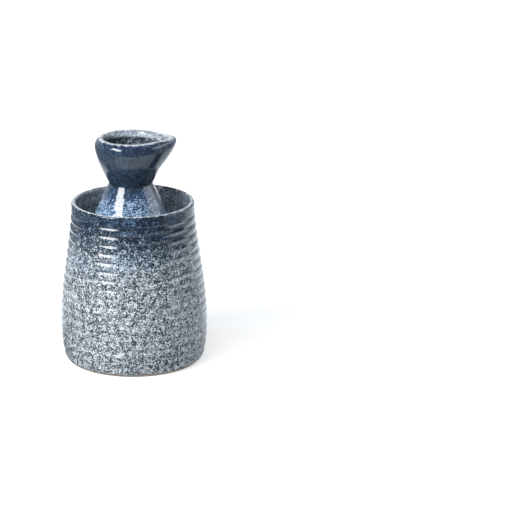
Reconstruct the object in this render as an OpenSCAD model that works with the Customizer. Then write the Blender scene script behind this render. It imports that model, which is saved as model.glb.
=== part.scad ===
// A sake bottle with a funnel mouth and a pinched pouring lip, standing in the ribbed pot that warms it.
// The pot holds hot water round the bottle, and the bottle lifts straight up out of it along +Z.
// Origin: centre of the pot's foot ring, on the surface that it stands on. The pouring lip points to +X.

/* [Warming pot] */
// Height of the pot
pot_h = 118; // [110:1:125]
// Outer diameter of the rim
rim_d = 88.5; // [86:0.5:94]
// Outer diameter at the widest place, low on the body
pot_belly_d = 105.6; // [100:0.2:112]
// Outer diameter of the foot
pot_foot_d = 95; // [90:1:98]
// Thickness of the body wall, measured to the top of a rib
pot_wall = 5.4; // [4.5:0.1:6.5]
// Thickness of the floor above the foot ring
pot_floor = 6; // [5:0.5:8]
// Height of the smooth band under the rim
rim_band = 9.4; // [6:0.2:12]
// Number of throwing ribs between the foot and the rim band
rib_count = 17; // [12:1:20]
// Depth of the grooves between the ribs
rib_depth = 0.9; // [0:0.1:1.2]

/* [Bottle] */
// Height of the bottle, to the top of its rim
bottle_h = 159; // [154:0.5:164]
// Outer diameter at the widest place, inside the pot
bottle_belly_d = 71; // [66:1:74]
// Outer diameter of the foot
bottle_foot_d = 58; // [52:1:60]
// Outer diameter of the waist between the body and the funnel
waist_d = 31; // [28:0.5:36]
// Height of the waist above the foot
waist_h = 125.6; // [122:0.2:130]
// Outer diameter of the round part of the mouth
mouth_d = 51.2; // [48:0.2:56]
// How far the pouring lip reaches past the round mouth
lip_reach = 7.4; // [5:0.1:9]
// Thickness of the bottle's wall
bottle_wall = 4.6; // [3.6:0.1:5]
// How far the bottle stands from the pot's axis, away from the lip
bottle_offset = 1.2; // [0:0.1:1.6]

/* [Hidden] */
$fn = 96;

// Both feet are a ring round a shallow recess.
foot_ring = 6;
foot_recess = 1.5;

// Pot: the rim is a round edge, and the body is widest a little above the foot.
rim_t = 3.5;
rim_r = rim_d / 2;
pot_belly_r = pot_belly_d / 2;
pot_foot_r = pot_foot_d / 2;
pot_belly_z = 28;
pot_corner_r = 12;
foot_edge = 1.5;
band_z = pot_h - rim_band;
rib_pitch = (band_z - foot_edge) / rib_count;
rib_steps = 6;

// Bottle: heights are above its own foot.
bottle_belly_r = bottle_belly_d / 2;
bottle_foot_r = bottle_foot_d / 2;
bottle_belly_z = 0.5 * waist_h;
bottle_floor = 6;
waist_r = waist_d / 2;
mouth_r = mouth_d / 2;
rim_rise = 2.3;
mouth_z = bottle_h - rim_rise;
crest_r = mouth_r - 5;
bore_r = mouth_r - 7.2;
bead_drop = 4;
bead_foot = 6;
bottle_corner_r = 8;
bottle_sides = 60;

// The lip grows out of the funnel over its upper part, and a shallow trough leads into it from the mouth.
lip_z = mouth_z - 20;
crest_reach = lip_reach + 3;
trough_reach = 4.5;
trough_depth = 8;
outer_spread = 16;
crest_spread = 13;

// Outer radius of the pot at height z, without its ribs.
function pot_lean(z) = pow(sin(90 * (pot_h - z) / (pot_h - pot_belly_z)), 1.7);
function pot_turn(z) = sqrt(1 - pow(1 - z / pot_belly_z, 2));
function pot_r(z) = z > pot_belly_z
    ? rim_r + (pot_belly_r - rim_r) * pot_lean(z)
    : pot_foot_r + (pot_belly_r - pot_foot_r) * pot_turn(z);

// Place within a rib, from -1 at its lower groove to 1 at its upper groove.
function rib_place(i) = 2 * (i % rib_steps) / rib_steps - 1;

// Radius of the pot's inner wall, which thickens from the rim down to the body.
function pot_wall_at(z) = rim_t + (pot_wall - rim_t) * min(1, (pot_h - z) / (pot_h - pot_belly_z));
function pot_inner_r(z) = pot_r(z) - pot_wall_at(z);

// The n heights that lead from a to b, without a itself.
function steps(a, b, n) = [for (i = [1 : n]) a + (b - a) * i / n];

// Points of an arc round c from angle a to angle b.
function arc(c, r, a, b, n) = [for (i = [0 : n]) c + r * [cos(a + (b - a) * i / n), sin(a + (b - a) * i / n)]];

// Outline of a ringed foot, from its axis to the outer edge at height 0.
function foot(r) = [[0, foot_recess], [r - foot_ring - foot_recess, foot_recess], [r - foot_ring, 0], [r, 0]];

module warming_pot() {
    rim_z = pot_h - rim_t / 2;
    corner_z = pot_floor + pot_corner_r;
    corner_x = pot_inner_r(corner_z) - pot_corner_r;
    ribs = [
        for (i = [0 : rib_count * rib_steps])
            let (z = foot_edge + i * rib_pitch / rib_steps)
                [pot_r(z) - rib_depth * pow(rib_place(i), 2), z]
    ];
    inner = [for (z = steps(rim_z, corner_z + 5, 18)) [pot_inner_r(z), z]];
    color("lightsteelblue")
        rotate_extrude()
            polygon(concat(
                foot(pot_foot_r),
                ribs,
                [[pot_r(band_z) - rib_depth / 3, band_z + 0.8]],
                arc([rim_r - rim_t / 2, rim_z], rim_t / 2, 0, 180, 8),
                inner,
                arc([corner_x, corner_z], pot_corner_r, 0, -90, 6),
                [[0, pot_floor]]
            ));
}

// Outer radius of the bottle at height z: a rounded foot, a domed shoulder, and a funnel above the waist.
function lower_r(z) = bottle_belly_r - (bottle_belly_r - bottle_foot_r) * pow(1 - z / bottle_belly_z, 3);
function dome_r(z) = waist_r + (bottle_belly_r - waist_r) * sin(90 * (waist_h - z) / (waist_h - bottle_belly_z));
function funnel_r(z) = waist_r + (mouth_r - waist_r) * sin(90 * (z - waist_h) / (mouth_z - waist_h));
function bottle_r(z) = z < bottle_belly_z ? lower_r(z) : z < waist_h ? dome_r(z) : funnel_r(z);

// Radius of the bottle's inner wall, which runs straight up behind the thick rim.
function bottle_inner_r(z) = min(bottle_r(z) - bottle_wall, z > waist_h ? bore_r + 1 : bottle_belly_r);

// How strongly the lip pulls the wall out at angle a: 1 on the +X side, falling to 0 within the spread.
function lip_pull(a, spread) =
    let (side = abs(a > 180 ? a - 360 : a) / spread)
        2 / (exp(side) + exp(-side));

// One ring of the bottle: a circle of radius r at height z, pulled out by reach on the +X side.
function ring(z, r, reach = 0, spread = 1) = [
    for (i = [0 : bottle_sides - 1])
        let (a = 360 * i / bottle_sides, pulled = r + reach * lip_pull(a, spread))
            [pulled * cos(a), pulled * sin(a), z]
];

// Rings up the outside, where the lip grows out of the upper funnel.
function outer_rings() = [
    for (z = concat(
        steps(0, bottle_belly_z, 5),
        steps(bottle_belly_z, waist_h, 7),
        steps(waist_h, mouth_z, 8)
    ))
        ring(z, bottle_r(z), lip_reach * max(0, (z - lip_z) / (mouth_z - lip_z)), outer_spread)
];

// Rings over the rim: a quarter turn up to its crest, then a quarter turn down into the mouth.
function rim_rings() = concat(
    [
        for (a = [30, 60, 90])
            ring(
                mouth_z + rim_rise * sin(a),
                crest_r + (mouth_r - crest_r) * cos(a),
                crest_reach + (lip_reach - crest_reach) * cos(a),
                crest_spread + (outer_spread - crest_spread) * cos(a)
            )
    ],
    [
        for (a = [30, 60, 90])
            ring(
                bottle_h - bead_drop * (1 - cos(a)),
                crest_r + (bore_r - crest_r) * sin(a),
                crest_reach + (trough_reach - crest_reach) * sin(a),
                crest_spread
            )
    ]
);

// Rings down the inside, from under the rim's bead and the lip's trough to the rounded corner of the floor.
function inner_rings() =
    let (
        top_z = bottle_h - bead_drop,
        corner_z = bottle_floor + bottle_corner_r,
        corner_x = bottle_inner_r(corner_z) - bottle_corner_r,
        wall = concat(
            steps(top_z, waist_h, 7),
            steps(waist_h, bottle_belly_z, 6),
            steps(bottle_belly_z, corner_z + 5, 3)
        )
    )
        concat(
            [
                for (z = wall)
                    let (
                        down = top_z - z,
                        under_bead = min(1, down / bead_foot),
                        trough = max(0, 1 - down / trough_depth),
                        r = z > waist_h ? min(bottle_inner_r(z), bore_r + under_bead) : bottle_inner_r(z)
                    )
                        ring(z, r, trough_reach * pow(trough, 2), crest_spread)
            ],
            [for (p = arc([corner_x, corner_z], bottle_corner_r, 0, -90, 4)) ring(p[1], p[0])]
        );

// A closed skin over rings that all have the same number of points, with a flat cap at each end.
module skin(rings) {
    sides = len(rings[0]);
    last = len(rings) - 1;
    sheet = [
        for (j = [0 : last - 1], i = [0 : sides - 1])
            let (next = (i + 1) % sides)
                [j * sides + i, (j + 1) * sides + i, (j + 1) * sides + next, j * sides + next]
    ];
    first_cap = [for (i = [0 : sides - 1]) i];
    last_cap = [for (i = [0 : sides - 1]) last * sides + sides - 1 - i];
    polyhedron([for (ring = rings, point = ring) point], concat(sheet, [first_cap, last_cap]));
}

module bottle() {
    foot_rings = [for (p = foot(bottle_foot_r)) if (p[0] > 0) ring(p[1], p[0])];
    color("midnightblue")
        translate([-bottle_offset, 0, pot_floor])
            skin(concat(foot_rings, outer_rings(), rim_rings(), inner_rings()));
}

warming_pot();
bottle();
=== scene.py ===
"""A sake bottle standing in its warming pot, both thrown in stoneware under a speckled blue and grey glaze.

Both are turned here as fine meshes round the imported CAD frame, with the small unevenness of hand work, and
glazed with procedural materials. Profiles are in millimetres, and the meshes that they make are in metres.
"""
import math

import bpy
import numpy as np
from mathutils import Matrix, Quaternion, Vector


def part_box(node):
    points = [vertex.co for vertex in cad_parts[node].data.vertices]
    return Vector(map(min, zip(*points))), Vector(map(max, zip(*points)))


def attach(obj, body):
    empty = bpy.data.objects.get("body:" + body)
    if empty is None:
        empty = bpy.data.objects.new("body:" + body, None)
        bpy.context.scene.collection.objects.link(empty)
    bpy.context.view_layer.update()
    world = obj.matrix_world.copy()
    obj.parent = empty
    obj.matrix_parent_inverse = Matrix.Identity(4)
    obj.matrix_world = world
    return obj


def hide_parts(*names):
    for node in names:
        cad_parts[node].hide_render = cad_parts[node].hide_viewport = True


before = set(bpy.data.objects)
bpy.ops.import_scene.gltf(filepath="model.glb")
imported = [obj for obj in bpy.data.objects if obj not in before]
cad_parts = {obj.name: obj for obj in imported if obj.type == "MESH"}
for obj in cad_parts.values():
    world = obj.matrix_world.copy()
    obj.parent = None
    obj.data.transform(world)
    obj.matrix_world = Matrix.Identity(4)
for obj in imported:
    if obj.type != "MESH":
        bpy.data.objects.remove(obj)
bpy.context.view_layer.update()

MM = 0.001
rng = np.random.default_rng(17)


# ---------------------------------------------------------------- sizes in millimetres, counts and shares

# The sizes are the CAD source's, but for the rim band, the ribs' depth and the bottle's rounder rim.
pot_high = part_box("warming_pot")[1] / MM
bottle_low, bottle_high = (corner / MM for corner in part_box("bottle"))

# The pot.
POT_H = pot_high.z
POT_BELLY_R = pot_high.x
POT_LEAN = 1.7
POT_RIM_R = 44.25
POT_FOOT_R = 47.5
POT_BELLY_Z = 28.0
POT_WALL = 5.4
POT_RIM_T = 3.5
POT_FLOOR = bottle_low.z
POT_CORNER_R = 12.0
RIM_BAND = 8.4
RIB_COUNT = 17
RIB_DEPTH = 1.1
RIB_STEPS = 14
GROOVE_ROUNDING = 0.16
BAND_GROOVE = 0.3
BAND_START = 1.6
POT_WAVE = 0.12

# The shares of RIB_DEPTH that the grooves reach near the foot and under the rim band.
LOW_RIBS = 0.85
HIGH_RIBS = 1.1

# Both feet, and where the glaze starts above them.
FOOT_EDGE = 1.5
FOOT_EDGE_R = 1.0
FOOT_RING = 6.0
FOOT_RECESS = 1.5
WALL_START = 1.1
GLAZE_START = 1.6
GLAZE_FULL = 2.4

# The bottle, with its heights above its own foot.
BOTTLE_H = bottle_high.z - bottle_low.z
BOTTLE_X = (bottle_low.x + bottle_high.x) / 2
BOTTLE_BELLY_R = bottle_high.y
BOTTLE_FOOT_R = 29.0
WAIST_R = 15.5
WAIST_Z = 125.6
CREASE_REACH = 1.2
BELLY_Z = WAIST_Z / 2
MOUTH_R = 25.9
RIM_RISE = 2.3
MOUTH_Z = BOTTLE_H - RIM_RISE
CREST_R = MOUTH_R - 5.0
BORE_R = MOUTH_R - 7.2
BEAD_Z = BOTTLE_H - 8.0
BEAD_DROP = 4.0
BEAD_FOOT = 3.0
BOTTLE_WALL = 4.6
BOTTLE_FLOOR = 6.0
BOTTLE_CORNER_R = 8.0
BOTTLE_WAVE = 0.10

# The pouring lip: how far it is pulled out, from what height, and the degrees that it spreads to each side.
LIP_REACH = 7.6
LIP_Z = MOUTH_Z - 20.0
CREST_REACH = LIP_REACH + 3.0
TROUGH_REACH = 4.5
TROUGH_DEPTH = 8.0
OUTER_SPREAD = 16.0
CREST_SPREAD = 13.0

# Both meshes: points round each ring, and the radius of the caps that close them on the axis.
SIDES = 240
CAP_R = 1.0


# ---------------------------------------------------------------- profiles

def clamp(value, low=0.0, high=1.0):
    return min(high, max(low, value))


def quarter(share):
    """A quarter sine, from 0 at share 0 to 1 at share 1."""
    return math.sin(math.pi / 2 * clamp(share))


def pot_r(z):
    """Outer radius of the pot at height z, without its ribs."""
    if z > POT_BELLY_Z:
        lean = quarter((POT_H - z) / (POT_H - POT_BELLY_Z)) ** POT_LEAN
        return POT_RIM_R + (POT_BELLY_R - POT_RIM_R) * lean
    turn = math.sqrt(1 - (1 - z / POT_BELLY_Z) ** 2)
    return POT_FOOT_R + (POT_BELLY_R - POT_FOOT_R) * turn


def pot_inner_r(z):
    """Radius of the pot's inside at height z: its wall thickens from the rim down to the belly."""
    thickening = clamp((POT_H - z) / (POT_H - POT_BELLY_Z))
    return pot_r(z) - POT_RIM_T - (POT_WALL - POT_RIM_T) * thickening


def bottle_r(z):
    """Outer radius of the bottle at height z above its own foot."""
    if z < BELLY_Z:
        return BOTTLE_BELLY_R - (BOTTLE_BELLY_R - BOTTLE_FOOT_R) * (1 - z / BELLY_Z) ** 3
    if z < WAIST_Z:
        return WAIST_R + (BOTTLE_BELLY_R - WAIST_R) * quarter((WAIST_Z - z) / (WAIST_Z - BELLY_Z))
    return WAIST_R + (MOUTH_R - WAIST_R) * quarter((z - WAIST_Z) / (MOUTH_Z - WAIST_Z))


def lip_pull(z):
    """How far the lip is pulled out at height z."""
    return LIP_REACH * clamp((z - LIP_Z) / (MOUTH_Z - LIP_Z))


def bottle_inner_r(z):
    """Radius of the bottle's inside at height z: it runs straight up behind the thick rim."""
    if z <= WAIST_Z:
        return bottle_r(z) - BOTTLE_WALL
    under_bead = clamp((BOTTLE_H - BEAD_DROP - z) / BEAD_FOOT)
    return min(bottle_r(z) - BOTTLE_WALL, BORE_R + under_bead)


# ---------------------------------------------------------------- turning

class Ring:
    """One ring of a turned vessel. Its marks, from 0 to 1, are what the glaze reads: see MARKS."""

    def __init__(self, z, r, reach=0.0, spread=1.0, wave=0.0, **marks):
        self.z = z
        self.r = r
        self.reach = reach
        self.spread = spread
        self.wave = wave
        self.marks = marks


# Worn crest of a rim, inner side, unglazed clay, and hollow that darkens, partly as glaze that pools and
# partly as painted shade.
MARKS = ("edge", "inside", "bare", "groove")


def spaced(low, high, step):
    """Heights from low to high, without low itself, about one step apart."""
    count = max(1, round(abs(high - low) / step))
    return [low + (high - low) * i / count for i in range(1, count + 1)]


def arc(end, steps):
    """Angles from 0 to end, without 0 itself."""
    return np.linspace(0, end, steps + 1)[1:]


def turned(name, rings, centre, waves):
    """A closed mesh over the rings: circles that waves unsettle and that the lip pulls out along +X."""
    angle = np.arange(SIDES) * 2 * math.pi / SIDES
    side = np.abs((np.degrees(angle) + 180) % 360 - 180)
    points = []
    for ring in rings:
        radius = ring.r + ring.reach / np.cosh(side / ring.spread)
        radius = radius + ring.wave * waves(angle, ring.z)
        height = np.full(SIDES, ring.z)
        points.append(np.stack([radius * np.cos(angle), radius * np.sin(angle), height], axis=1))
    verts = np.concatenate(points) + np.array(centre)
    faces = []
    last = (len(rings) - 1) * SIDES
    for start in range(0, last, SIDES):
        for i in range(SIDES):
            j = (i + 1) % SIDES
            faces.append((start + i, start + j, start + SIDES + j, start + SIDES + i))
    faces.append(tuple(reversed(range(SIDES))))
    faces.append(tuple(range(last, last + SIDES)))
    mesh = bpy.data.meshes.new(name)
    mesh.from_pydata((verts * MM).tolist(), [], faces)
    mesh.shade_smooth()
    for mark in MARKS:
        layer = mesh.attributes.new(mark, "FLOAT", "POINT")
        layer.data.foreach_set("value", np.repeat([ring.marks.get(mark, 0.0) for ring in rings], SIDES))
    piece = bpy.data.objects.new(name, mesh)
    bpy.context.collection.objects.link(piece)
    return piece


def slow_waves(count, rise):
    """A sum of a few long waves round the vessel that turn slowly with height, about -1 to 1."""
    phases = rng.uniform(0, 2 * math.pi, count)
    turns = rng.uniform(-1, 1, count) / rise

    def waves(angle, z):
        total = 0
        for k in range(count):
            total = total + np.sin((k + 2) * angle + phases[k] + turns[k] * z) / (k + 1)
        return total / 1.6

    return waves


def throwing(z, depth, pitch, drift=0.0):
    """The soft ridges that the thrower's fingers leave at height z, pitch apart and unsettled by drift."""
    return depth * math.sin(2 * math.pi * z / pitch + drift * math.sin(z / 11))


def foot_rings(radius):
    """The bare underside: a shallow recess, then the ring that the vessel stands on, with softened edges."""
    inner = radius - FOOT_RING
    flat = radius - FOOT_EDGE_R
    rings = [Ring(FOOT_RECESS, r, bare=1) for r in np.linspace(CAP_R, inner - FOOT_RECESS - 1, 10)]
    rings += [Ring(FOOT_RECESS * (1 - s), inner - FOOT_RECESS * (1 - s), bare=1) for s in (0.1, 0.5, 0.9)]
    rings += [Ring(0, r, bare=1) for r in np.linspace(inner + 0.3, flat, 6)]
    rings += [Ring(z, flat + math.sqrt(FOOT_EDGE_R ** 2 - (FOOT_EDGE_R - z) ** 2), bare=1)
              for z in spaced(0, 0.9 * FOOT_EDGE_R, 0.3)]
    return rings


def floor_rings(floor_z, wall_r, corner_r, corner_steps, floor_steps):
    """The inside's rounded corner, under a wall of radius wall_r, and then its flat floor."""
    flat_r = wall_r - corner_r
    rings = []
    for turn in arc(math.pi / 2, corner_steps):
        z = floor_z + corner_r - corner_r * math.sin(turn)
        rings.append(Ring(z, flat_r + corner_r * math.cos(turn), inside=1))
    return rings + [Ring(floor_z, r, inside=1) for r in np.linspace(flat_r, CAP_R, floor_steps + 1)[1:]]


def bare_at(z):
    """Share of bare clay at height z: the glaze stops a little above the foot."""
    return 1 - clamp((z - GLAZE_START) / (GLAZE_FULL - GLAZE_START))


def pot_rings():
    """The warming pot's rings: foot, ribbed wall, smooth band, round rim, inner wall and floor."""
    band_z = POT_H - RIM_BAND
    pitch = (band_z - FOOT_EDGE) / RIB_COUNT
    # The grooves deepen over the middle of the wall, and no two are quite alike.
    higher = np.clip(np.linspace(-0.5, 1.3, RIB_COUNT + 1), 0, 1)
    depths = RIB_DEPTH * rng.uniform(0.88, 1.08, RIB_COUNT + 1)
    depths *= LOW_RIBS + (HIGH_RIBS - LOW_RIBS) * higher
    rings = foot_rings(POT_FOOT_R)
    for z in spaced(WALL_START, band_z, pitch / RIB_STEPS):
        rib = max(0.0, (z - FOOT_EDGE) / pitch)
        from_groove = 0.5 - abs(rib % 1 - 0.5)
        groove = (1 - min(1.0, math.hypot(2 * from_groove, GROOVE_ROUNDING))) ** 2
        depth = depths[min(RIB_COUNT, round(rib))]
        rings.append(Ring(z, pot_r(z) - depth * groove, wave=POT_WAVE, groove=groove, bare=bare_at(z)))
    rim_z = POT_H - POT_RIM_T / 2
    for z in spaced(band_z, rim_z, 0.5):
        rise = 1 - clamp((z - band_z) / BAND_START)
        band_r = pot_r(z) - BAND_GROOVE * RIB_DEPTH * rise ** 2
        rings.append(Ring(z, band_r, wave=POT_WAVE, groove=BAND_GROOVE * rise))
    for turn in arc(math.pi, 16):
        r = POT_RIM_R - POT_RIM_T / 2 + POT_RIM_T / 2 * math.cos(turn)
        z = rim_z + POT_RIM_T / 2 * math.sin(turn)
        inside = clamp(turn / math.pi * 2 - 1)
        rings.append(Ring(z, r, wave=POT_WAVE, edge=math.sin(turn) ** 1.5, inside=inside))
    corner_z = POT_FLOOR + POT_CORNER_R
    for z in spaced(rim_z, corner_z, 1.3):
        below_rim = clamp((rim_z - z) / 6)
        inner_r = pot_inner_r(z) + throwing(z, depth=0.18, pitch=8.5, drift=0.6) * below_rim
        rings.append(Ring(z, inner_r, wave=POT_WAVE, inside=1))
    wall_r = pot_inner_r(corner_z)
    return rings + floor_rings(POT_FLOOR, wall_r, POT_CORNER_R, corner_steps=12, floor_steps=15)


def bottle_rings():
    """The bottle's rings: foot, body, shoulder, funnel, rolled rim with its lip, and the inside."""
    rings = foot_rings(BOTTLE_FOOT_R)
    crease = [WAIST_Z - 0.2, WAIST_Z, WAIST_Z + 0.2]
    heights = spaced(WALL_START, BELLY_Z, 1.6) + spaced(BELLY_Z, WAIST_Z - 0.7, 0.7) + crease
    heights += spaced(WAIST_Z + 0.4, BEAD_Z, 0.5)
    for z in heights:
        below_waist = clamp((WAIST_Z - z) / 25)
        outer_r = bottle_r(z) + throwing(z, depth=0.10, pitch=7.3) * below_waist
        rings.append(Ring(
            z, outer_r, lip_pull(z), OUTER_SPREAD, wave=BOTTLE_WAVE,
            bare=bare_at(z), groove=clamp(1 - abs(z - WAIST_Z) / CREASE_REACH),
        ))
    for turn in arc(math.pi / 2, 20):
        z = BEAD_Z + (BOTTLE_H - BEAD_Z) * math.sin(turn)
        out = math.cos(turn)
        rings.append(Ring(
            z,
            CREST_R + (bottle_r(z) - CREST_R) * out,
            CREST_REACH + (lip_pull(z) - CREST_REACH) * out,
            CREST_SPREAD + (OUTER_SPREAD - CREST_SPREAD) * out,
            wave=BOTTLE_WAVE, edge=math.sin(turn) ** 4,
        ))
    for turn in arc(math.pi / 2, 10):
        down = math.sin(turn)
        rings.append(Ring(
            BOTTLE_H - BEAD_DROP * (1 - math.cos(turn)),
            CREST_R + (BORE_R - CREST_R) * down,
            CREST_REACH + (TROUGH_REACH - CREST_REACH) * down,
            CREST_SPREAD, wave=BOTTLE_WAVE, edge=math.cos(turn) ** 2, inside=down,
        ))
    top_z = BOTTLE_H - BEAD_DROP
    corner_z = BOTTLE_FLOOR + BOTTLE_CORNER_R
    for z in spaced(top_z, WAIST_Z, 0.6) + spaced(WAIST_Z, BELLY_Z, 1.2) + spaced(BELLY_Z, corner_z, 2.0):
        trough = clamp(1 - (top_z - z) / TROUGH_DEPTH)
        rings.append(Ring(z, bottle_inner_r(z), TROUGH_REACH * trough ** 2, CREST_SPREAD, inside=1))
    wall_r = bottle_inner_r(corner_z)
    return rings + floor_rings(BOTTLE_FLOOR, wall_r, BOTTLE_CORNER_R, corner_steps=8, floor_steps=9)


pot = turned("warming_pot_glazed", pot_rings(), (0, 0, 0), slow_waves(count=5, rise=60))
bottle = turned("bottle_glazed", bottle_rings(), (BOTTLE_X, 0, bottle_low.z), slow_waves(count=4, rise=50))


# ---------------------------------------------------------------- materials

def srgb(red, green, blue):
    """A linear colour, with alpha, from 8-bit display values."""
    linear = [((v / 255 + 0.055) / 1.055) ** 2.4 if v > 10 else v / 255 / 12.92 for v in (red, green, blue)]
    return (*linear, 1.0)


class Tree:
    """Short calls that build the nodes of one material, or of the world."""

    def __init__(self, owner, coordinates="Object"):
        owner.use_nodes = True
        self.tree = owner.node_tree
        self.shader = self.tree.nodes.get("Principled BSDF")
        self.place = self.add("ShaderNodeTexCoord").outputs[coordinates]

    def add(self, kind, inputs=None, **settings):
        node = self.tree.nodes.new(kind)
        for name, value in settings.items():
            setattr(node, name, value)
        for socket, value in (inputs or {}).items():
            if isinstance(value, bpy.types.NodeSocket):
                self.tree.links.new(value, node.inputs[socket])
            else:
                node.inputs[socket].default_value = value
        return node

    def math(self, operation, a, b=0.0, c=0.0):
        return self.add("ShaderNodeMath", {0: a, 1: b, 2: c}, operation=operation).outputs[0]

    def noise(self, per_metre, detail=2.0, roughness=0.5, distortion=0.0):
        """Noise with about per_metre lumps in a metre, from 0 to 1 round a middle of 0.5."""
        inputs = {"Vector": self.place, "Scale": per_metre, "Detail": detail}
        inputs |= {"Roughness": roughness, "Distortion": distortion}
        return self.add("ShaderNodeTexNoise", inputs).outputs["Fac"]

    def spread(self, value, low, high, smooth=False):
        """Maps low..high of value to 0..1, and holds it there."""
        kind = "SMOOTHSTEP" if smooth else "LINEAR"
        inputs = {"Value": value, "From Min": low, "From Max": high}
        return self.add("ShaderNodeMapRange", inputs, interpolation_type=kind).outputs["Result"]

    def mark(self, name):
        return self.add("ShaderNodeAttribute", attribute_name=name).outputs["Fac"]

    def ramp(self, value, stops):
        """A colour ramp through (place, colour) stops."""
        node = self.add("ShaderNodeValToRGB", {"Fac": value})
        elements = node.color_ramp.elements
        elements[0].color = stops[0][1]
        elements[-1].color = stops[-1][1]
        for place, colour in stops[1:-1]:
            elements.new(place).color = colour
        return node.outputs["Color"]

    def mix(self, share, a, b, blend="MIX"):
        inputs = {"Factor": share, 6: a, 7: b}
        return self.add("ShaderNodeMix", inputs, data_type="RGBA", blend_type=blend).outputs[2]


def palette(tree, speck, *colours):
    """A palette's colour for the speckle's value."""
    places = (0.0, 0.32, 0.5, 0.68, 1.0)
    return tree.ramp(speck, list(zip(places, (srgb(*colour) for colour in colours))))


# Palettes, each from its darkest specks to its palest flecks.
STONE = (30, 35, 42), (59, 66, 73), (114, 122, 129), (165, 173, 179), (195, 202, 208)
SKY = (36, 46, 58), (66, 79, 94), (106, 122, 140), (148, 165, 181), (186, 199, 210)
SHADOW = (28, 35, 43), (42, 51, 61), (65, 76, 88), (100, 114, 128), (150, 164, 176)
NAVY = (14, 20, 28), (20, 28, 37), (28, 39, 51), (44, 59, 77), (86, 106, 128)
COBALT = (22, 36, 54), (43, 66, 96), (80, 107, 141), (127, 152, 180), (188, 203, 217)
DEEP = (22, 36, 52), (30, 48, 72), (42, 64, 94), (54, 80, 117), (84, 110, 144)
FLECKED = (16, 25, 37), (22, 33, 49), (30, 44, 66), (50, 70, 102), (120, 140, 168)
INK = (26, 34, 43), (30, 39, 49), (34, 44, 56), (39, 52, 68), (52, 68, 91)
SLATE = (66, 76, 88), (91, 103, 116), (120, 133, 146), (148, 160, 172), (188, 198, 208)
# Painted shade: the bottle's inside below the bead, dark with pale specks.
THROAT_SHADE = (26, 31, 38), (36, 43, 51), (50, 58, 67), (72, 82, 92), (168, 177, 186)
# Painted light and reflection: the pale back of the bottle's inner rim.
BACK_SHEEN = (70, 80, 92), (116, 128, 141), (156, 169, 182), (188, 198, 208), (212, 219, 226)
PALE = (84, 92, 102), (122, 130, 140), (160, 168, 176), (190, 197, 203), (210, 215, 220)
CLAY = (98, 90, 80), (120, 111, 99), (134, 126, 114), (146, 138, 127), (164, 157, 147)

# The colour that grooves and the bottle's waist crease darken to: partly glaze that pools there, partly
# painted shade.
POOL_AND_SHADE_COLOUR = (22, 29, 40)


def speckle(tree, per_metre, contrast=1.0):
    """The glaze's speckle: small lumps that gather in loose clusters, stretched to fill 0 to 1."""
    clustering = 0.35
    middle = 0.5 * (1 + clustering)
    reach = 0.215 / contrast
    fine = tree.noise(per_metre, detail=2.0, roughness=0.55, distortion=0.2)
    both = tree.math("MULTIPLY_ADD", tree.noise(300, detail=1.0), clustering, fine)
    return tree.spread(both, middle - reach, middle + reach)


def finish_glaze(tree, colour, speck, pooling_and_shade, smoothest, relief_strength):
    """What both vessels share: grooves darkened partly as glaze that pools and partly as painted shade, worn
    rims, bare clay, roughness from its smoothest up, and relief.
    """
    grit = tree.spread(tree.noise(1300, detail=3), 0.3, 0.7)
    chipped = tree.math("MULTIPLY_ADD", tree.noise(300, detail=3), 0.5, tree.mark("edge"))
    worn = tree.spread(chipped, 0.92, 1.04)
    # Painted shade, with glaze that pools, darkens the grooves and the waist crease.
    pooled_and_shaded = tree.math("MULTIPLY", tree.spread(tree.mark("groove"), 0.05, 0.6), pooling_and_shade)
    colour = tree.mix(pooled_and_shaded, colour, srgb(*POOL_AND_SHADE_COLOUR))
    colour = tree.mix(worn, colour, palette(tree, speck, *PALE))
    wander = tree.math("MULTIPLY_ADD", tree.noise(160), 0.8, tree.math("SUBTRACT", tree.mark("bare"), 0.4))
    bare = tree.spread(wander, 0.35, 0.5)
    colour = tree.mix(bare, colour, palette(tree, grit, *CLAY))
    tree.tree.links.new(colour, tree.shader.inputs["Base Color"])

    uneven = tree.math("MULTIPLY_ADD", tree.noise(90, detail=3), 0.10, smoothest)
    uneven = tree.math("MULTIPLY_ADD", speck, 0.05, uneven)
    uneven = tree.math("MULTIPLY_ADD", worn, 0.12, uneven)
    rough = tree.math("MULTIPLY_ADD", bare, 0.7, uneven)
    tree.tree.links.new(rough, tree.shader.inputs["Roughness"])

    skin = tree.noise(260, detail=2)
    relief = tree.math("MULTIPLY_ADD", speck, 0.25, skin)
    relief = tree.math("MULTIPLY_ADD", tree.math("MULTIPLY", grit, bare), 1.5, relief)
    bump = tree.add("ShaderNodeBump", {"Height": relief, "Strength": relief_strength, "Distance": 0.00012})
    tree.tree.links.new(bump.outputs["Normal"], tree.shader.inputs["Normal"])
    tree.shader.inputs["IOR"].default_value = 1.52


def along(tree, axis):
    """The place's X, Y or Z: metres on a surface, or part of the direction in the world."""
    return tree.add("ShaderNodeSeparateXYZ", {0: tree.place}).outputs[axis]


def height_of(tree, speck, patches, dither):
    """Height in metres, unsettled by slow patches and by the speckle, so that zones meet in a ragged line."""
    z = along(tree, "Z")
    patch = tree.math("SUBTRACT", tree.noise(34, detail=2), 0.5)
    z = tree.math("MULTIPLY_ADD", patch, patches, z)
    return tree.math("MULTIPLY_ADD", tree.math("SUBTRACT", speck, 0.5), dither, z)


# The pot's glaze zones come lower on the +X side, in metres per metre.
GLAZE_TILT = 0.09

# The heights in metres that the pot's changes come in over, from low to high.
DENSER_SPECKS = (0.050, 0.088)
SMOOTHER_GLAZE = (0.055, 0.095)
SKY_PATCHES = (0.068, 0.082)
DUSK_ZONE = (0.074, 0.092)
NAVY_ZONE = (0.086, 0.104)
SLATE_INSIDE = (0.060, 0.105)


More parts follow.
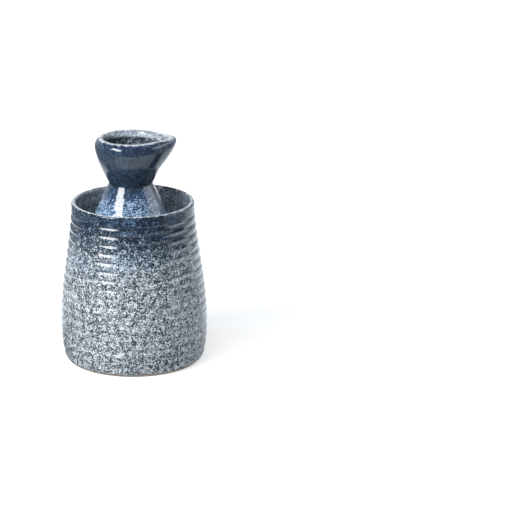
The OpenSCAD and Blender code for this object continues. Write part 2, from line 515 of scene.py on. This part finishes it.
def pot_glaze():
    """Grey-white under dark specks, sky blue and dusky below the navy of the rim, and slate inside."""
    material = bpy.data.materials.new("pot_glaze")
    tree = Tree(material)
    speck = speckle(tree, per_metre=940)
    level = height_of(tree, speck, patches=0.026, dither=-0.020)
    z = tree.math("MULTIPLY_ADD", along(tree, "X"), GLAZE_TILT, level)
    denser = tree.math("MULTIPLY_ADD", tree.spread(z, *DENSER_SPECKS), -0.10, speck)
    blotch = tree.spread(tree.noise(48, detail=2), 0.45, 0.6)
    sky = tree.math("MULTIPLY", tree.spread(z, *SKY_PATCHES, smooth=True), blotch)
    colour = tree.mix(sky, palette(tree, denser, *STONE), palette(tree, speck, *SKY))
    colour = tree.mix(tree.spread(z, *DUSK_ZONE, smooth=True), colour, palette(tree, speck, *SHADOW))
    navy = tree.spread(z, *NAVY_ZONE, smooth=True)
    colour = tree.mix(navy, colour, palette(tree, speck, *NAVY))
    blue = tree.math("MULTIPLY", navy, tree.spread(tree.noise(75, detail=2), 0.48, 0.66))
    colour = tree.mix(tree.math("MULTIPLY", blue, 0.18), colour, palette(tree, speck, *DEEP))
    within = tree.mix(tree.spread(z, *SLATE_INSIDE, smooth=True),
                      palette(tree, speck, *STONE), palette(tree, speck, *SLATE))
    colour = tree.mix(tree.spread(tree.mark("inside"), 0.3, 0.9), colour, within)
    smoothest = tree.math("MULTIPLY_ADD", tree.spread(z, *SMOOTHER_GLAZE), -0.16, 0.20)
    # The grooves' darkening, partly glaze that pools and partly painted shade, is strongest under the navy.
    pooling_and_shade = tree.math("MULTIPLY_ADD", navy, 0.35, 0.25)
    finish_glaze(tree, colour, speck, pooling_and_shade, smoothest, relief_strength=0.3)
    return material


# The bottle's colours from the foot up, each with the heights in metres that it comes in over.
BOTTLE_ZONES = (
    (SKY, 0.050, 0.095),
    (COBALT, 0.096, 0.112),
    (DEEP, 0.114, 0.125),
    (INK, 0.120, 0.131),
)
FLECKED_RIM = (0.154, 0.164)
# The heights in metres over which the painted shade down the bottle's throat gives way to the inner bead.
THROAT_SHADE_TOP = (0.1590, 0.1606)

# The Y in metres over which the rim's inner side turns pale at the back: painted light and a painted
# reflection.
BACK_SHEEN_Y = (0.004, 0.016)


def bottle_glaze():
    """Grey at the foot, sky blue and cobalt above it, ink on the funnel, painted shade down the throat, and
    painted light and reflection on the back of the inner rim.
    """
    material = bpy.data.materials.new("bottle_glaze")
    tree = Tree(material)
    speck = speckle(tree, per_metre=1250, contrast=1.15)
    z = height_of(tree, speck, patches=0.010, dither=-0.010)
    colour = palette(tree, speck, *STONE)
    for zone, low, high in BOTTLE_ZONES:
        colour = tree.mix(tree.spread(z, low, high, smooth=True), colour, palette(tree, speck, *zone))
    flecked = tree.math("MULTIPLY", tree.spread(z, *FLECKED_RIM, smooth=True), 0.6)
    colour = tree.mix(flecked, colour, palette(tree, speck, *FLECKED))
    # Below the inner bead the bottle's inside is painted dark, as painted shade.
    lip = tree.spread(height_of(tree, speck, patches=0.004, dither=-0.002), *THROAT_SHADE_TOP, smooth=True)
    # The back of the rim's inner side is painted pale, as painted light and reflection.
    back_sheen = tree.spread(along(tree, "Y"), *BACK_SHEEN_Y, smooth=True)
    bead = tree.mix(back_sheen, palette(tree, speck, *STONE), palette(tree, speck, *BACK_SHEEN))
    within = tree.mix(lip, palette(tree, speck, *THROAT_SHADE), bead)
    colour = tree.mix(tree.spread(tree.mark("inside"), 0.3, 0.9), colour, within)
    # The bottle's grooves and waist crease darken, partly as glaze that pools and partly as painted shade.
    finish_glaze(tree, colour, speck, pooling_and_shade=0.35, smoothest=0.01, relief_strength=0.16)
    return material


pot.data.materials.append(pot_glaze())
bottle.data.materials.append(bottle_glaze())

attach(pot, "warming_pot")
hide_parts("warming_pot")
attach(bottle, "bottle")
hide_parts("bottle")


# ---------------------------------------------------------------- floor, light and camera

def direction(azimuth, elevation):
    """Unit vector towards the camera's side, -Y, turned towards +X and raised, both in degrees."""
    a = math.radians(azimuth)
    e = math.radians(elevation)
    return np.array((math.sin(a) * math.cos(e), -math.cos(a) * math.cos(e), math.sin(e)))


COOL = (0.84, 0.92, 1.0, 1.0)
FAINTLY_COOL = (0.94, 0.97, 1.0, 1.0)
WHITE = (1.0, 1.0, 1.0, 1.0)
PALE_GREY = (0.56, 0.57, 0.58, 1.0)
BLACK = (0.01, 0.01, 0.012, 1.0)


def plate(name, half, z, albedo, tint, glow_at):
    """A flat, matt square under the vessels, staged, that glows as glow_at(tree, x, y) says."""
    mesh = bpy.data.meshes.new(name)
    corners = [(-half, -half, z), (half, -half, z), (half, half, z), (-half, half, z)]
    mesh.from_pydata(corners, [], [(0, 1, 2, 3)])
    material = bpy.data.materials.new(name)
    tree = Tree(material)
    place = tree.add("ShaderNodeSeparateXYZ", {0: tree.place}).outputs
    tree.tree.links.new(glow_at(tree, place["X"], place["Y"]), tree.shader.inputs["Emission Strength"])
    tree.shader.inputs["Base Color"].default_value = albedo
    tree.shader.inputs["Roughness"].default_value = 0.9
    tree.shader.inputs["Emission Color"].default_value = tint
    mesh.materials.append(material)
    made = bpy.data.objects.new(name, mesh)
    bpy.context.collection.objects.link(made)
    return made


def floor_glow(tree, x, y):
    """The pale floor glows a little by the vessels, so that their shadow shows, and whitens with distance."""
    away = tree.math("SQRT", tree.math("ADD", tree.math("POWER", x, 2), tree.math("POWER", y, 2)))
    return tree.math("MULTIPLY_ADD", tree.spread(away, 0.15, 1.0), 0.40, 0.60)


# Where the table that the glaze mirrors glows: x range, y range and brightness, over a dark rest.
TABLE_CARDS = (
    ((-0.19, 0.28), (-0.285, -0.108), 1.35),
    ((0.10, 0.28), (-0.108, -0.04), 1.1),
    ((0.05, 0.12), (-0.04, 0.06), 0.9),
    ((-0.19, -0.08), (-0.108, -0.02), 0.6),
    ((-0.20, 0.28), (0.06, 3), 1.5),
    ((-3, -0.19), (-0.285, 0.06), 0.38),
    ((-3, -0.20), (0.06, 3), 0.3),
    ((0.28, 3), (-0.285, 0.16), 0.7),
    ((0.28, 3), (0.16, 3), 1.5),
)
CARD_BLUR_X = 0.03
CARD_BLUR_Y = 0.01

# The soft window that the glaze mirrors on the +X side, in radians round from -Y and up.
WINDOW_AZIMUTH = (1.25, 2.1)
WINDOW_ELEVATION = (0.12, 0.65)


def soft_card(tree, brightness, *sides):
    """A glow where every side's value is between its low and high, fading over blur at both ends."""
    glow = brightness
    for value, low, high, blur in sides:
        glow = tree.math("MULTIPLY", glow, tree.spread(value, low - blur, low + blur, smooth=True))
        glow = tree.math("MULTIPLY", glow, tree.spread(value, high + blur, high - blur, smooth=True))
    return glow


def table_glow(tree, x, y):
    """The sum of the table's cards."""
    total = 0.0
    for x_range, y_range, brightness in TABLE_CARDS:
        card = soft_card(tree, brightness, (x, *x_range, CARD_BLUR_X), (y, *y_range, CARD_BLUR_Y))
        total = tree.math("ADD", total, card)
    return total


# The point that the lamps face.
LIT_POINT = np.array((0, 0, 0.1))


def softbox(name, azimuth, elevation, distance, size, radiance, lean=0.0, mirrored=True):
    """A rectangular area light that faces the vessels, turned by lean degrees about its own axis."""
    light = bpy.data.lights.new(name, "AREA")
    light.shape = "RECTANGLE"
    light.size, light.size_y = size
    light.energy = radiance * math.pi * size[0] * size[1]
    lamp = bpy.data.objects.new(name, light)
    back = direction(azimuth, elevation)
    lamp.location = LIT_POINT + back * distance
    lamp.rotation_mode = "QUATERNION"
    own_turn = Quaternion((0, 0, 1), math.radians(lean))
    lamp.rotation_quaternion = Vector(-back).to_track_quat("-Z", "Y") @ own_turn
    lamp.visible_glossy = mirrored
    bpy.context.collection.objects.link(lamp)


def white_room():
    """A surround that lights the vessels from behind, holds a soft window and looks white to the camera."""
    world = bpy.data.worlds.new("white_room")
    bpy.context.scene.world = world
    tree = Tree(world, "Generated")
    x, y, z = (along(tree, axis) for axis in "XYZ")
    ray = tree.add("ShaderNodeLightPath").outputs
    behind = tree.math("MULTIPLY_ADD", tree.spread(y, 0.2, 0.65, smooth=True), 0.76, 0.09)
    azimuth = tree.math("ARCTAN2", x, tree.math("MULTIPLY", y, -1.0))
    elevation = tree.math("ARCSINE", z)
    window = soft_card(tree, 3.2, (azimuth, *WINDOW_AZIMUTH, 0.16), (elevation, *WINDOW_ELEVATION, 0.12))
    window = tree.math("MULTIPLY", window, ray["Is Glossy Ray"])
    room_light = tree.add("ShaderNodeBackground", {"Color": FAINTLY_COOL, "Strength": behind})
    window_light = tree.add("ShaderNodeBackground", {"Color": COOL, "Strength": window})
    lit = tree.add("ShaderNodeAddShader", {0: room_light.outputs[0], 1: window_light.outputs[0]})
    backdrop = tree.add("ShaderNodeBackground", {"Color": WHITE})
    shaders = {0: ray["Is Camera Ray"], 1: lit.outputs[0], 2: backdrop.outputs[0]}
    seen = tree.add("ShaderNodeMixShader", shaders)
    tree.tree.links.new(seen.outputs[0], tree.tree.nodes["World Output"].inputs["Surface"])


plate("pale_floor", half=5.0, z=0.0, albedo=PALE_GREY, tint=WHITE, glow_at=floor_glow)
mirrored_table = plate("mirrored_table", half=3.0, z=0.001, albedo=BLACK, tint=COOL, glow_at=table_glow)
mirrored_table.visible_camera = False
mirrored_table.visible_diffuse = False
mirrored_table.visible_shadow = False
white_room()
# The key is two lamps in one place, so that its mirror image stays below pure white.
for name, radiance, mirrored in (("key", 18, True), ("key_wash", 6.5, False)):
    softbox(name, azimuth=-48, elevation=31, distance=1.2, size=(0.66, 0.35), radiance=radiance, lean=-18,
            mirrored=mirrored)
softbox("fill", azimuth=-20, elevation=40, distance=1.5, size=(1.2, 0.8), radiance=6.0, mirrored=False)

CAMERA_ELEVATION = 17.5
CAMERA_DISTANCE = 2.278
AIM = np.array((0.0913, 0, 0.073))
lens = bpy.data.cameras.new("camera")
lens.sensor_width = 36
lens.lens = 218.4
lens.clip_start = 0.05
lens.clip_end = 50
camera = bpy.data.objects.new("camera", lens)
camera.location = AIM + direction(0, CAMERA_ELEVATION) * CAMERA_DISTANCE
camera.rotation_euler = (math.radians(90 - CAMERA_ELEVATION), 0, 0)
bpy.context.collection.objects.link(camera)
bpy.context.scene.camera = camera
bpy.context.scene.view_settings.view_transform = "Standard"
